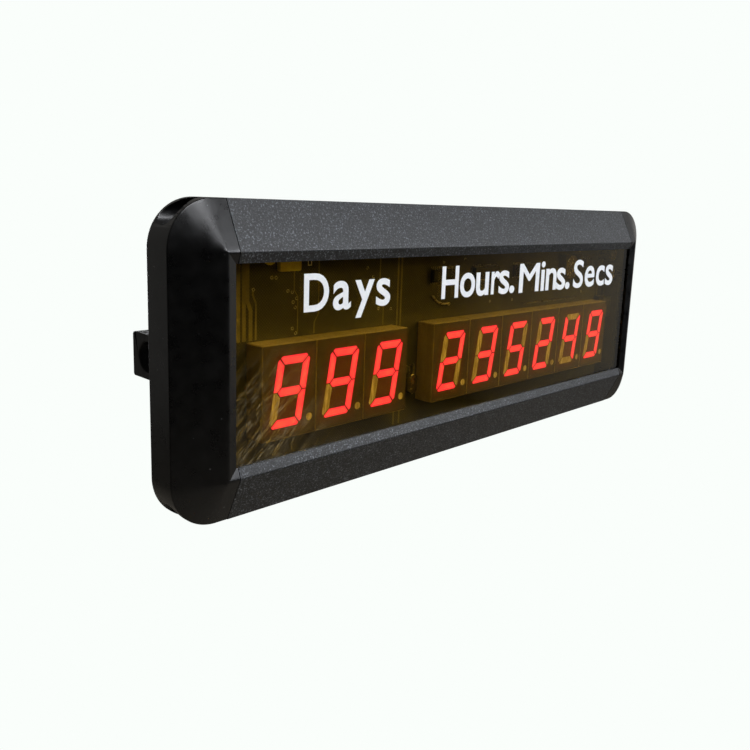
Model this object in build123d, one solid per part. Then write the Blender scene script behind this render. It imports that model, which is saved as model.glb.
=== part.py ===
from build123d import *
import math
import os

# LED countdown and round timer: a shallow wall box made of one open aluminium
# profile, closed by two moulded end caps. Millimetres. X runs along the timer to
# the viewer's right, Y to the back, Z up. The origin is the centre of the flat
# back, so the front of the timer faces -Y.

# --- housing -----------------------------------------------------------------
housing_width = 300.0
housing_height = 107.5
slope_width = 16.5          # seen from the front; also the radius of the four corners
slope_depth = 8.0
bevel_width = 3.7           # inner bevel round the window
bevel_depth = 1.35
lip_thickness = 0.75        # flat edge of the bevel that the window pane lies behind
cap_width = 20.9            # end cap, from the end of the timer to the seam
seam_gap = 0.3
profile_wall = 1.6
back_wall = 1.5
cap_wall = 2.0
outer_edge_radius = 0.6
rib_thickness = 1.2
fit_gap = 0.05              # between flat faces that slide past each other

# --- window pane --------------------------------------------------------------
pane_thickness = 2.0
pane_overlap = 2.2          # how far the pane reaches behind the bevel
pane_edge_gap = 0.3

# --- digit modules ------------------------------------------------------------
module_width = 24.0
module_height = 34.0
module_depth = 9.3
module_pitch = 24.08
left_group_count = 3
right_group_count = 6
left_group_start = -116.5   # left edge of the day digits
right_group_start = -28.3   # left edge of the hour digits
module_centre_z = -12.0
pane_to_module_gap = 2.2
displayed_number = "999235249"
character_height = 25.4
character_width = 14.2
segment_width = 3.0
segment_gap = 0.4
segment_corner = 1.8        # how much the outer corners of a character are cut
segment_depth = 1.2
segment_fit = 0.03
slant_angle = 9.8
point_radius = 1.4
point_offset = (8.9, -10.8)
lit_segments = {
    "0": "abcdef", "1": "bc", "2": "abged", "3": "abgcd", "4": "fgbc",
    "5": "afgcd", "6": "afgecd", "7": "abc", "8": "abcdefg", "9": "abcdfg",
}
pin_size = 0.5
pins_per_row = 5
pin_pitch = 2.54
pin_row_spacing = 30.48
pin_hole_radius = 0.42
pin_tail = 1.1

# --- main circuit board --------------------------------------------------------
board_thickness = 1.6
rear_space = 1.75           # behind the board, for the pins' soldered ends
board_half_height = 45.5
board_end_gap = 2.8         # from the board to the end of the profile

# --- screws through the end caps ------------------------------------------------
screw_core_radius = 1.25
screw_channel_gap = 0.05
screw_clearance_radius = 1.7
screw_head_radius = 3.2
screw_head_height = 2.4
screw_length = 14.0         # below the head
counterbore_radius = 4.5
counterbore_floor = 4.0     # material left between the seam and the screw head
channel_radius = 3.1
channel_slot = 1.3
channel_inset = 4.45        # from the top of the housing to the screw's axis

# --- hanging brackets -----------------------------------------------------------
lug_thickness = 8.0
lug_height = 15.5
lug_reach = 22.5            # behind the back of the housing
lug_hole_radius = 5.25
lug_hole_to_edge = 9.5
lug_corner_radius = 1.0
foot_thickness = 3.0
foot_width = 14.0
foot_height = 48.0
foot_inset = 3.5            # from the end of the timer to the foot
foot_screw_spacing = 34.0
foot_screw_radius = 1.5
foot_hole_radius = 1.7
foot_screw_head_radius = 2.75
foot_screw_head_height = 1.8
foot_screw_length = 7.0
insert_radius = 2.1
insert_length = 5.0
insert_boss_radius = 3.4
insert_boss_depth = 7.0

# --- controls in the right end cap ------------------------------------------------
button_names = ("set_button", "up_button", "down_button")
button_spacing = 10.0
button_radius = 2.6
button_proud = 1.4
button_travel = 0.5
button_flange_radius = 3.6
button_flange_thickness = 1.0
button_hole_gap = 0.15
plunger_radius = 1.75
plunger_gap = 0.06
switch_size = 6.0
switch_body_height = 3.8
control_board_inset = 14.4  # from the end of the timer to the board's outer face
control_board_top = 16.0
control_board_bottom = -34.0
control_board_width = 8.6
rail_thickness = 1.3
rail_depth = 2.5
rail_grip = 1.0

# --- power switch and inlet ----------------------------------------------------------
rocker_z = 28.0
rocker_frame_height = 15.0
rocker_frame_width = 10.4
rocker_frame_proud = 1.2
rocker_body_height = 13.0
rocker_body_width = 8.6
rocker_body_depth = 12.0
rocker_wall = 1.2
rocker_height = 9.6
rocker_width = 5.8
rocker_proud = 1.9
rocker_thickness = 4.6
rocker_tilt = 8.0
rocker_pin_radius = 0.9
rocker_pin_gap = 0.05
inlet_z = -27.0
inlet_body_width = 9.0
inlet_body_height = 11.0
inlet_neck_radius = 3.9
inlet_neck_gap = 0.1
inlet_bore_radius = 3.2
inlet_bore_depth = 9.5
inlet_pin_radius = 1.0

# --- sounder in the left end cap ------------------------------------------------------
sounder_radius = 7.0
sounder_depth = 7.5
sounder_z = -33.0
sounder_ring = 1.2
sounder_ring_gap = 0.1
sounder_ring_depth = 1.4
sound_hole_radius = 0.9
sound_hole_circle = 4.0
sound_hole_count = 6

# --- legends on the pane ---------------------------------------------------------
legend_thickness = 0.12
legend_stroke = 2.2
legend_height = 13.3
legend_rise = 11.7          # above the modules
letter_gap = 1.5
letter_stretch = 1.2        # width of the letters
letter_strokes = {
    "D": (((0, 0), (0, 1), (0.28, 1), (0.5, 0.75), (0.5, 0.25), (0.28, 0), (0, 0)),),
    "A": (((0, 0), (0.28, 1), (0.56, 0)), ((0.11, 0.36), (0.45, 0.36))),
    "Y": (((0, 1), (0.27, 0.48), (0.54, 1)), ((0.27, 0.48), (0.27, 0))),
    "S": (((0.48, 0.86), (0.34, 1), (0.12, 1), (0, 0.84), (0, 0.66), (0.12, 0.53),
           (0.36, 0.47), (0.48, 0.34), (0.48, 0.15), (0.36, 0), (0.12, 0), (0, 0.14)),),
    "H": (((0, 0), (0, 1)), ((0.5, 0), (0.5, 1)), ((0, 0.5), (0.5, 0.5))),
    "O": (((0.15, 0), (0, 0.17), (0, 0.83), (0.15, 1), (0.37, 1), (0.52, 0.83),
           (0.52, 0.17), (0.37, 0), (0.15, 0)),),
    "U": (((0, 1), (0, 0.17), (0.15, 0), (0.35, 0), (0.5, 0.17), (0.5, 1)),),
    "R": (((0, 0), (0, 1), (0.34, 1), (0.48, 0.87), (0.48, 0.63), (0.34, 0.5), (0, 0.5)),
          ((0.26, 0.5), (0.5, 0))),
    "M": (((0, 0), (0, 1), (0.32, 0.36), (0.64, 1), (0.64, 0)),),
    "I": (((0, 0), (0, 1)),),
    "N": (((0, 0), (0, 1), (0.5, 0), (0.5, 1)),),
    "E": (((0.44, 0), (0, 0), (0, 1), (0.44, 1)), ((0, 0.5), (0.38, 0.5))),
    "C": (((0.48, 0.82), (0.34, 1), (0.14, 1), (0, 0.82), (0, 0.18), (0.14, 0),
           (0.34, 0), (0.48, 0.18)),),
}

# --- worked-out places -----------------------------------------------------------------
housing_depth = (bevel_depth + lip_thickness + fit_gap + pane_thickness + pane_to_module_gap
                 + module_depth + board_thickness + rear_space + back_wall)
half_width = housing_width / 2
half_height = housing_height / 2
ridge_half_width = half_width - slope_width
ridge_half_height = half_height - slope_width
window_half_width = ridge_half_width - bevel_width
window_half_height = ridge_half_height - bevel_width
front_y = -housing_depth
slope_edge_y = front_y + slope_depth
seam_x = half_width - cap_width
profile_half_length = seam_x - seam_gap
slope_angle = math.atan2(slope_depth, slope_width)
pane_seat_y = front_y + bevel_depth + lip_thickness
pane_front_y = pane_seat_y + fit_gap
pane_back_y = pane_front_y + pane_thickness
pane_half_width = window_half_width + pane_overlap
pane_half_height = window_half_height + pane_overlap
module_front_y = pane_back_y + pane_to_module_gap
board_front_y = module_front_y + module_depth
board_back_y = board_front_y + board_thickness
board_half_width = profile_half_length - board_end_gap
screw_y = slope_edge_y / 2
screw_z = half_height - channel_inset
screw_seat_x = seam_x + counterbore_floor
cap_inner_x = half_width - cap_wall
foot_centre_x = half_width - foot_inset - foot_width / 2
control_face_x = half_width - control_board_inset
control_y = -(cap_wall + control_board_width / 2 + 0.2)
plunger_top_x = cap_inner_x - fit_gap - button_flange_thickness


def block(x, y, z):
    """A box between two X, two Y and two Z values."""
    box = Box(x[1] - x[0], y[1] - y[0], z[1] - z[0])
    return Pos((x[0] + x[1]) / 2, (y[0] + y[1]) / 2, (z[0] + z[1]) / 2) * box


def rod_x(radius, start, end, y, z):
    """A round bar along X."""
    bar = Rot(0, 90, 0) * Cylinder(radius, end - start)
    return Pos((start + end) / 2, y, z) * bar


def rod_y(radius, start, end, x, z):
    """A round bar along Y."""
    bar = Rot(90, 0, 0) * Cylinder(radius, end - start)
    return Pos(x, (start + end) / 2, z) * bar


def prism_x(points, half_length):
    """A solid along X with an outline given as Y, Z points."""
    with BuildPart() as solid:
        with BuildSketch(Plane.YZ):
            with BuildLine():
                Polyline(*points, close=True)
            make_face()
        extrude(amount=half_length, both=True)
    return solid.part


def slope_depth_at(inset):
    """How far behind the front the sloping wall lies once it is inset by a wall."""
    return inset / math.cos(slope_angle)


def bevelled_block(inset, back):
    """The timer's outer shape, or with an inset the hollow inside a wall of that
    thickness: straight sides, slopes round the front, and a cone at each corner."""
    ratio = slope_depth / slope_width
    front = front_y + slope_depth_at(inset)
    reach = slope_width - inset
    edge = front + reach * ratio
    across = ((front, ridge_half_width), (edge, ridge_half_width + reach))
    upward = ((front, ridge_half_height), (edge, ridge_half_height + reach))
    tall = prism_x(
        [upward[0], upward[1], (back, upward[1][1]), (back, -upward[1][1]),
         (edge, -upward[1][1]), (front, -upward[0][1])], ridge_half_width)
    wide = prism_x(
        [across[0], across[1], (back, across[1][1]), (back, -across[1][1]),
         (edge, -across[1][1]), (front, -across[0][1])], ridge_half_height)
    shape = tall + Rot(0, 90, 0) * wide
    for x in (-ridge_half_width, ridge_half_width):
        for z in (-ridge_half_height, ridge_half_height):
            cone = Rot(90, 0, 0) * Cone(reach, 0, edge - front)
            shape += Pos(x, (front + edge) / 2, z) * cone
            shape += rod_y(reach, edge, back, x, z)
    return shape


def outer_shape():
    """The timer's outside, with its front and rear outer edges rounded."""
    shape = bevelled_block(0, 0)
    edges = []
    for edge in shape.edges():
        extent = edge.bounding_box()
        for y in (slope_edge_y, 0):
            if abs(extent.min.Y - y) < 0.01 and abs(extent.max.Y - y) < 0.01:
                edges.append(edge)
    return fillet(edges, outer_edge_radius)


def window_opening():
    """The hole in the front with its inner bevel, right through to the pane."""
    with BuildPart() as hole:
        with BuildSketch(Plane.XZ.offset(-front_y)):
            Rectangle(2 * ridge_half_width, 2 * ridge_half_height)
        with BuildSketch(Plane.XZ.offset(-front_y - bevel_depth)):
            Rectangle(2 * window_half_width, 2 * window_half_height)
        loft()
    straight = block((-window_half_width, window_half_width), (front_y + bevel_depth, pane_seat_y),
                     (-window_half_height, window_half_height))
    return hole.part + straight


def profile_outline():
    """The extruded section: back, top, bottom, slopes and inner bevels, with the
    grooves for the pane and the board and a screw channel in each rear corner."""
    drop = slope_depth_at(profile_wall)
    ratio = slope_width / slope_depth
    hollow_top = half_height - profile_wall
    hollow_front_z = ridge_half_height + (pane_seat_y - front_y - drop) * ratio
    hollow_edge_y = front_y + drop + (hollow_top - ridge_half_height) / ratio
    rib_back = pane_back_y + fit_gap + rib_thickness
    rib_top = ridge_half_height + (rib_back - front_y - drop) * ratio + 0.1
    with BuildSketch(Plane.YZ) as section:
        with BuildLine():
            Polyline((front_y, ridge_half_height), (slope_edge_y, half_height), (0, half_height),
                     (0, -half_height), (slope_edge_y, -half_height), (front_y, -ridge_half_height),
                     close=True)
        make_face()
        corners = section.vertices()
        edges = [v for v in corners if abs(v.Y - slope_edge_y) < 0.01]
        fillet(edges, outer_edge_radius)
        rear = [v for v in section.vertices() if abs(v.Y) < 0.01]
        fillet(rear, outer_edge_radius)
        for side in (-1, 1):
            with BuildLine():
                Polyline((pane_seat_y, 0), (pane_seat_y, side * hollow_front_z),
                         (hollow_edge_y, side * hollow_top), (-back_wall, side * hollow_top),
                         (-back_wall, 0), close=True)
            make_face(mode=Mode.SUBTRACT)
            with BuildLine():
                Polyline((front_y, 0), (front_y, side * ridge_half_height),
                         (front_y + bevel_depth, side * window_half_height),
                         (pane_seat_y, side * window_half_height), (pane_seat_y, 0), close=True)
            make_face(mode=Mode.SUBTRACT)
            low = window_half_height + rib_thickness
            rectangle_between((pane_back_y + fit_gap, rib_back), (side * low, side * rib_top))
            low = board_half_height - 1.6
            high = screw_z - channel_radius + 0.4
            front_rib = (board_front_y - fit_gap - rib_thickness, board_front_y - fit_gap)
            rectangle_between(front_rib, (side * low, side * high))
            rectangle_between((board_back_y + fit_gap, -back_wall / 2), (side * low, side * high))
            with Locations((screw_y, side * screw_z)):
                Circle(channel_radius)
                Circle(screw_core_radius + screw_channel_gap, mode=Mode.SUBTRACT)
            slot_y = (screw_y - channel_radius - 0.2, screw_y)
            slot_z = (side * screw_z - channel_slot / 2, side * screw_z + channel_slot / 2)
            rectangle_between(slot_y, slot_z, Mode.SUBTRACT)
    return section.sketch


def rectangle_between(y, z, mode=Mode.ADD):
    """A rectangle in the current sketch between two Y and two Z values."""
    with Locations(((y[0] + y[1]) / 2, (z[0] + z[1]) / 2)):
        Rectangle(abs(y[1] - y[0]), abs(z[1] - z[0]), mode=mode)


def housing_profile():
    return extrude(profile_outline(), amount=profile_half_length, both=True)


def pane_pocket(gap):
    """The space that the pane needs, with a gap round its edges."""
    return block((-pane_half_width - gap, pane_half_width + gap),
                 (pane_seat_y, pane_back_y + gap),
                 (-pane_half_height - gap, pane_half_height + gap))


def plain_cap(outer, hollow):
    """The right end cap before its holes: shell, pane pocket and screw pillars."""
    keep = block((seam_x, half_width + 1), (front_y - 1, 1), (-half_height - 1, half_height + 1))
    shell = (outer & keep) - hollow - window_opening() - pane_pocket(pane_edge_gap)
    pillars = []
    for z in (-screw_z, screw_z):
        pillars.append(rod_x(counterbore_radius + 1.0, seam_x, half_width, screw_y, z))
    shell += (pillars[0] + pillars[1]) & outer & keep
    for z in (-screw_z, screw_z):
        shell -= rod_x(counterbore_radius, screw_seat_x, half_width + 1, screw_y, z)
        shell -= rod_x(screw_clearance_radius, seam_x - 1, screw_seat_x + 1, screw_y, z)
    for z in (-foot_screw_spacing / 2, foot_screw_spacing / 2):
        shell += rod_y(insert_boss_radius, -cap_wall - insert_boss_depth, -cap_wall / 2, foot_centre_x, z)
        shell -= rod_y(insert_radius, -insert_length, 1, foot_centre_x, z)
        shell -= rod_y(foot_screw_radius + 0.2, -foot_screw_length, 0, foot_centre_x, z)
    return shell


def control_rail(z, direction):
    """A grooved block that holds one end of the control board."""
    near = z - direction * rail_grip
    far = z + direction * rail_depth
    inner_x = control_face_x - board_thickness
    wall_y = -cap_wall + 0.5
    body = block((inner_x - rail_thickness, control_face_x + rail_thickness),
                 (control_y - control_board_width / 2, wall_y), sorted((near, far)))
    groove = block((inner_x - fit_gap, control_face_x + fit_gap),
                   (control_y - control_board_width / 2 - 1, -cap_wall),
                   sorted((near - direction, z + direction * fit_gap)))
    return body - groove


def right_cap(shell):
    """The right end cap, with the openings for the controls and the board's rails."""
    cap = shell + control_rail(control_board_top, 1) + control_rail(control_board_bottom, -1)
    for z in button_places():
        hole = button_radius + button_hole_gap
        cap -= rod_x(hole, cap_inner_x - 1, half_width + 1, control_y, z)
    cap -= rod_x(inlet_neck_radius + inlet_neck_gap, cap_inner_x - 1, half_width + 1,
                 control_y, inlet_z)
    half_y = rocker_body_width / 2 + fit_gap
    half_z = rocker_body_height / 2 + fit_gap
    cap -= block((cap_inner_x - 1, half_width + 1), (control_y - half_y, control_y + half_y),
                 (rocker_z - half_z, rocker_z + half_z))
    return cap


def left_cap(shell):
    """The left end cap: the mirrored shell, with a seat and holes for the sounder."""
    cap = mirror(shell, about=Plane.YZ)
    inner = sounder_radius + sounder_ring_gap
    back = -cap_wall + 0.5
    ring = rod_y(inner + sounder_ring, -cap_wall - sounder_ring_depth, back, -foot_centre_x, sounder_z)
    ring -= rod_y(inner, -cap_wall - sounder_ring_depth - 1, -cap_wall, -foot_centre_x, sounder_z)
    cap += ring
    for i in range(sound_hole_count):
        turn = 2 * math.pi * i / sound_hole_count
        x = -foot_centre_x + sound_hole_circle * math.cos(turn)
        z = sounder_z + sound_hole_circle * math.sin(turn)
        cap -= rod_y(sound_hole_radius, -cap_wall - 1, 1, x, z)
    return cap


def cap_screws():
    """The four cross-head screws that hold the end caps on the profile."""
    screws = []
    for z in (-screw_z, screw_z):
        seat = screw_seat_x
        screw = rod_x(screw_head_radius, seat, seat + screw_head_height, screw_y, z)
        screw += rod_x(screw_core_radius, seat - screw_length, seat, screw_y, z)
        top = (seat + screw_head_height - 1.1, seat + screw_head_height + 1)
        screw -= block(top, (screw_y - 1.7, screw_y + 1.7), (z - 0.35, z + 0.35))
        screw -= block(top, (screw_y - 0.35, screw_y + 0.35), (z - 1.7, z + 1.7))
        screws.append(screw)
    return on_both_sides(screws)


def on_both_sides(shapes):
    """The shapes on the right and their mirror images, as one group of solids."""
    copies = shapes + [mirror(shape, about=Plane.YZ) for shape in shapes]
    return Compound(children=[solid for shape in copies for solid in shape.solids()])


def bracket():
    """Right hanging bracket: a foot on the cap's back and a lug with a cross hole."""
    lug_outer_x = half_width - 6.5
    foot = block((foot_centre_x - foot_width / 2, foot_centre_x + foot_width / 2),
                 (0, foot_thickness), (-foot_height / 2, foot_height / 2))
    foot = fillet(foot.edges().filter_by(Axis.Y), 3.0)
    lug = block((lug_outer_x - lug_thickness, lug_outer_x), (foot_thickness / 2, lug_reach),
                (-lug_height / 2, lug_height / 2))
    tip = lug.edges().filter_by(Axis.X).sort_by(Axis.Y)[-2:]
    lug = fillet(tip, lug_corner_radius)
    shape = foot + lug
    shape -= rod_x(lug_hole_radius, lug_outer_x - lug_thickness - 1, lug_outer_x + 1,
                   lug_reach - lug_hole_to_edge, 0)
    for z in (-foot_screw_spacing / 2, foot_screw_spacing / 2):
        shape -= rod_y(foot_hole_radius, -1, foot_thickness + 1, foot_centre_x, z)
    return shape


def bracket_screws():
    """The four socket-head screws that hold the brackets on the end caps."""
    screws = []
    for z in (-foot_screw_spacing / 2, foot_screw_spacing / 2):
        top = foot_thickness + foot_screw_head_height
        screw = rod_y(foot_screw_head_radius, foot_thickness, top, foot_centre_x, z)
        screw += rod_y(foot_screw_radius, foot_thickness - foot_screw_length, foot_thickness,
                       foot_centre_x, z)
        socket = Rot(90, 0, 0) * extrude(RegularPolygon(1.25, 6), amount=1.0)
        screw -= Pos(foot_centre_x, top, z) * socket
        screws.append(screw)
    return on_both_sides(screws)


def threaded_inserts():
    """Brass inserts in the cap's bosses, which the bracket screws go into."""
    inserts = []
    for z in (-foot_screw_spacing / 2, foot_screw_spacing / 2):
        sleeve = rod_y(insert_radius, -insert_length, 0, foot_centre_x, z)
        sleeve -= rod_y(foot_screw_radius, -insert_length - 1, 1, foot_centre_x, z)
        inserts.append(sleeve)
    return on_both_sides(inserts)


def window_pane():
    return block((-pane_half_width, pane_half_width), (pane_front_y, pane_back_y),
                 (-pane_half_height, pane_half_height))


def letter_width(letter):
    """The width of a letter's middle lines, for a letter one high."""
    return max(point[0] for stroke in letter_strokes[letter] for point in stroke)


def word(text, centre_x, base_z):
    """One plain block-letter word, each letter a thin solid on the pane's front."""
    rise = legend_height - legend_stroke
    run = rise * letter_stretch
    widths = [letter_width(letter) * run for letter in text]
    step = legend_stroke + letter_gap
    x = centre_x - (sum(widths) + step * (len(text) - 1)) / 2
    letters = []
    for letter, width in zip(text, widths):
        shape = None
        for stroke in letter_strokes[letter]:
            points = [(x + px * run, base_z + legend_stroke / 2 + pz * rise) for px, pz in stroke]
            for start, end in zip(points, points[1:]):
                bar = stroke_bar(start, end)
                shape = bar if shape is None else shape + bar
        letters.extend(shape.solids())
        x += width + step
    return letters


def stroke_bar(start, end):
    """A round-ended bar from one point to another, lying on the pane."""
    middle = ((start[0] + end[0]) / 2, (start[1] + end[1]) / 2)
    length = math.dist(start, end)
    angle = math.degrees(math.atan2(end[1] - start[1], end[0] - start[0]))
    flat = SlotCenterToCenter(length, legend_stroke, rotation=angle)
    place = Plane((middle[0], pane_front_y, middle[1]), x_dir=(1, 0, 0), z_dir=(0, -1, 0))
    return place * extrude(flat, amount=legend_thickness)


def unit_legends():
    """The names of the units over the two groups of digits."""
    base = module_centre_z + module_height / 2 + legend_rise
    left_centre = left_group_start + left_group_count * module_pitch / 2
    letters = word("DAYS", left_centre, base)
    for index, text in enumerate(("HOURS", "MINS", "SECS")):
        centre = right_group_start + (2 * index + 1) * module_pitch
        letters += word(text, centre, base)
    return Compound(children=letters)


def module_centres():
    """The X of each digit module's centre, from left to right."""
    left = [left_group_start + (i + 0.5) * module_pitch for i in range(left_group_count)]
    right = [right_group_start + (i + 0.5) * module_pitch for i in range(right_group_count)]
    return left + right


def segment_outlines():
    """The seven bars of an upright character, as X, Z points about its centre."""
    w = character_width / 2
    h = character_height / 2
    t = segment_width
    c = segment_corner
    g = segment_gap / 2
    top = [(-w + c / 2 + g, h - c / 2 + g), (-w + c, h), (w - c, h), (w - c / 2 - g, h - c / 2 + g),
           (w - t - g, h - t), (-w + t + g, h - t)]
    upper_left = [(-w, h - c), (-w + c / 2 - g, h - c / 2 - g), (-w + t, h - t - 2 * g),
                  (-w + t, t / 2 + 2 * g), (-w + t / 2, g), (-w, g)]
    middle = [(-w + t / 2 + 2 * g, 0), (-w + t + g, t / 2), (w - t - g, t / 2),
              (w - t / 2 - 2 * g, 0), (w - t - g, -t / 2), (-w + t + g, -t / 2)]
    flip_x = [(-x, z) for x, z in upper_left]
    flip_z = [(x, -z) for x, z in upper_left]
    flip_both = [(-x, -z) for x, z in upper_left]
    bottom = [(x, -z) for x, z in top]
    return {"a": top, "b": flip_x, "c": flip_both, "d": bottom, "e": flip_z,
            "f": upper_left, "g": middle}


def segment_prism(points, centre_x, gap, depth):
    """A slanted bar let into the module's face, or with a gap its pocket."""
    lean = math.tan(math.radians(slant_angle))
    placed = [(centre_x + x + z * lean, z + module_centre_z) for x, z in points]
    face = make_face(Polyline(*placed, close=True))
    if gap:
        face = offset(face, amount=gap, kind=Kind.INTERSECTION)
    place = Plane((0, module_front_y + depth, 0), x_dir=(1, 0, 0), z_dir=(0, -1, 0))
    return place * extrude(face, amount=depth)


def decimal_point(centre_x, gap, depth):
    x = centre_x + point_offset[0]
    z = module_centre_z + point_offset[1]
    return rod_y(point_radius + gap, module_front_y, module_front_y + depth, x, z)


def digit_shell(centre_x):
    """One module's moulded body with a pocket for each bar and the point."""
    half = module_width / 2
    shell = block((centre_x - half, centre_x + half), (module_front_y, board_front_y),
                  (module_centre_z - module_height / 2, module_centre_z + module_height / 2))
    for outline in segment_outlines().values():
        shell -= segment_prism(outline, centre_x, segment_fit, segment_depth)
    return shell - decimal_point(centre_x, segment_fit, segment_depth)


def segments(centre_x, names):
    outlines = segment_outlines()
    return [segment_prism(outlines[name], centre_x, 0, segment_depth) for name in names]


def pin_places():
    """X and Z of every pin, in two rows behind each module."""
    places = []
    for centre_x in module_centres():
        for row in (-1, 1):
            for i in range(pins_per_row):
                x = centre_x + (i - (pins_per_row - 1) / 2) * pin_pitch
                places.append((x, module_centre_z + row * pin_row_spacing / 2))
    return places


def digit_pins():
    half = pin_size / 2
    pins = []
    for x, z in pin_places():
        pins.append(block((x - half, x + half), (board_front_y, board_back_y + pin_tail),
                          (z - half, z + half)))
    return Compound(children=pins)


def main_board():
    board = block((-board_half_width, board_half_width), (board_front_y, board_back_y),
                  (-board_half_height, board_half_height))
    with BuildPart() as holes:
        with BuildSketch(Plane.XZ.offset(-board_back_y - 1)):
            with Locations(*pin_places()):
                Circle(pin_hole_radius)
        extrude(amount=board_thickness + 2)
    return board - holes.part


# --- small parts on the main board --------------------------------------------------
def on_board(x, z, width, height, thickness):
    """A rectangular part standing on the front of the main board."""
    return block((x - width / 2, x + width / 2), (board_front_y - thickness, board_front_y),
                 (z - height / 2, z + height / 2))


def round_on_board(x, z, radius, thickness):
    return rod_y(radius, board_front_y - thickness, board_front_y, x, z)


def driver_chips():
    chips = [on_board(x, 24.0, 15.4, 7.5, 2.4) for x in (-14.0, 46.0)]
    return Compound(children=chips)


def smoothing_capacitors():
    cans = [round_on_board(122.0, z, 3.15, 7.8) for z in (20.0, 30.0)]
    return Compound(children=cans)


def clock_crystal():
    gap_centre = (left_group_start + left_group_count * module_pitch + right_group_start) / 2
    can = on_board(gap_centre + 3.3, -21.0, 4.6, 9.0, 3.4)
    return fillet(can.edges().filter_by(Axis.Y), 2.2)


def header_pins():
    pins = []
    for i in range(20):
        x = 49.0 + i * pin_pitch
        pins.append(on_board(x, 7.4, 0.64, 0.64, 1.4))
    return Compound(children=pins)


def battery_holder():
    base = on_board(88.0, 24.0, 15.6, 13.4, 3.6)
    return base - rod_y(6.3, board_front_y - 4, board_front_y - 1.0, 88.0, 24.0)


def coin_cell():
    return rod_y(6.2, board_front_y - 3.0, board_front_y - 1.0, 88.0, 24.0)


def infrared_receiver():
    body = on_board(122.0, -22.0, 6.0, 7.0, 3.0)
    dome = Pos(122.0, board_front_y - 3.0, -22.0) * Sphere(2.3)
    front = block((118, 126), (board_front_y - 6, board_front_y - 2), (-26, -18))
    return body + (dome & front)


def film_capacitor():
    body = on_board(-98.7, 31.6, 9.6, 5.2, 2.2)
    return fillet(body.edges().filter_by(Axis.Y), 0.8)


def ceramic_resonator():
    return round_on_board(-107.3, 34.0, 2.6, 2.0)


# --- controls in the right end cap ----------------------------------------------------
def button_places():
    """Z of the three push buttons, from the top one down."""
    return [(1 - i) * button_spacing for i in range(len(button_names))]


def control_board():
    return block((control_face_x - board_thickness, control_face_x),
                 (control_y - control_board_width / 2, control_y + control_board_width / 2),
                 (control_board_bottom, control_board_top))


def button(z):
    """A push-button cap: a domed top, a stem and a flange behind the wall."""
    top = half_width + button_proud
    face = rod_x(button_radius, cap_inner_x - fit_gap, top, control_y, z)
    rim = face.edges().filter_by(GeomType.CIRCLE).sort_by(Axis.X)[-1]
    face = fillet(rim, 0.7)
    return face + rod_x(button_flange_radius, plunger_top_x, cap_inner_x - fit_gap, control_y, z)


def plunger(z):
    """The tactile switch's stem, which the button pushes."""
    start = control_face_x + switch_body_height - 1.6
    return rod_x(plunger_radius, start, plunger_top_x, control_y, z)


def tactile_switches():
    bodies = []
    for z in button_places():
        half = switch_size / 2
        body = block((control_face_x, control_face_x + switch_body_height),
                     (control_y - half, control_y + half), (z - half, z + half))
        well = control_face_x + switch_body_height - 1.6 - button_travel - 0.3
        body -= rod_x(plunger_radius + plunger_gap, well, plunger_top_x, control_y, z)
        bodies.append(body)
    return Compound(children=bodies)


def rocker_frame():
    """The power switch's bezel and body, hollow where the rocker swings."""
    bezel = block((half_width, half_width + rocker_frame_proud),
                  (control_y - rocker_frame_width / 2, control_y + rocker_frame_width / 2),
                  (rocker_z - rocker_frame_height / 2, rocker_z + rocker_frame_height / 2))
    bezel = fillet(bezel.edges().filter_by(Axis.X), 1.0)
    bezel = chamfer(bezel.faces().sort_by(Axis.X)[-1].edges(), 0.4)
    body = block((half_width - rocker_body_depth, half_width),
                 (control_y - rocker_body_width / 2, control_y + rocker_body_width / 2),
                 (rocker_z - rocker_body_height / 2, rocker_z + rocker_body_height / 2))
    half_y = rocker_width / 2 + 0.25
    half_z = rocker_body_height / 2 - rocker_wall
    well = block((half_width - 6.5, half_width + 2), (control_y - half_y, control_y + half_y),
                 (rocker_z - half_z, rocker_z + half_z))
    shape = bezel + body - well
    reach = rocker_body_width / 2 - 0.4
    shape -= rod_y(rocker_pin_radius + rocker_pin_gap, control_y - reach, control_y + reach,
                   half_width - 1.6, rocker_z)
    return shape


def power_rocker():
    """The rocker at rest in its on position, on stub pins at its sides."""
    half = rocker_height / 2
    pivot_x = half_width - 1.6
    top_x = half_width + rocker_proud
    base_x = top_x - rocker_thickness
    dip = math.tan(math.radians(rocker_tilt)) * half
    with BuildPart() as solid:
        with BuildSketch(Plane.XZ.offset(-control_y)):
            with BuildLine():
                Polyline((base_x, rocker_z - half), (top_x, rocker_z - half),
                         (top_x - dip, rocker_z), (top_x, rocker_z + half),
                         (base_x, rocker_z + half), close=True)
            make_face()
        extrude(amount=rocker_width / 2, both=True)
    shape = solid.part
    reach = rocker_body_width / 2 - 0.4 - 0.1
    shape += rod_y(rocker_pin_radius, control_y - reach, control_y + reach, pivot_x, rocker_z)
    place = Pos(pivot_x, control_y, rocker_z)
    return place * Rot(0, rocker_tilt, 0) * place.inverse() * shape


def power_inlet():
    """The low-voltage barrel socket: body on the control board, neck in the wall."""
    body = block((control_face_x, cap_inner_x - fit_gap),
                 (control_y - inlet_body_width / 2 + 0.3, control_y + inlet_body_width / 2 - 0.2),
                 (inlet_z - inlet_body_height / 2, inlet_z + inlet_body_height / 2))
    body += rod_x(inlet_neck_radius, cap_inner_x - 1, half_width, control_y, inlet_z)
    return body - rod_x(inlet_bore_radius, half_width - inlet_bore_depth, half_width + 1,
                        control_y, inlet_z)


def inlet_contact():
    """The centre pin of the barrel socket."""
    return rod_x(inlet_pin_radius, half_width - inlet_bore_depth, half_width - 1.0,
                 control_y, inlet_z)


def ribbon_header():
    return block((119.0, 123.6), (board_front_y - 3.4, board_front_y), (-7.0, 7.0))


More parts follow.
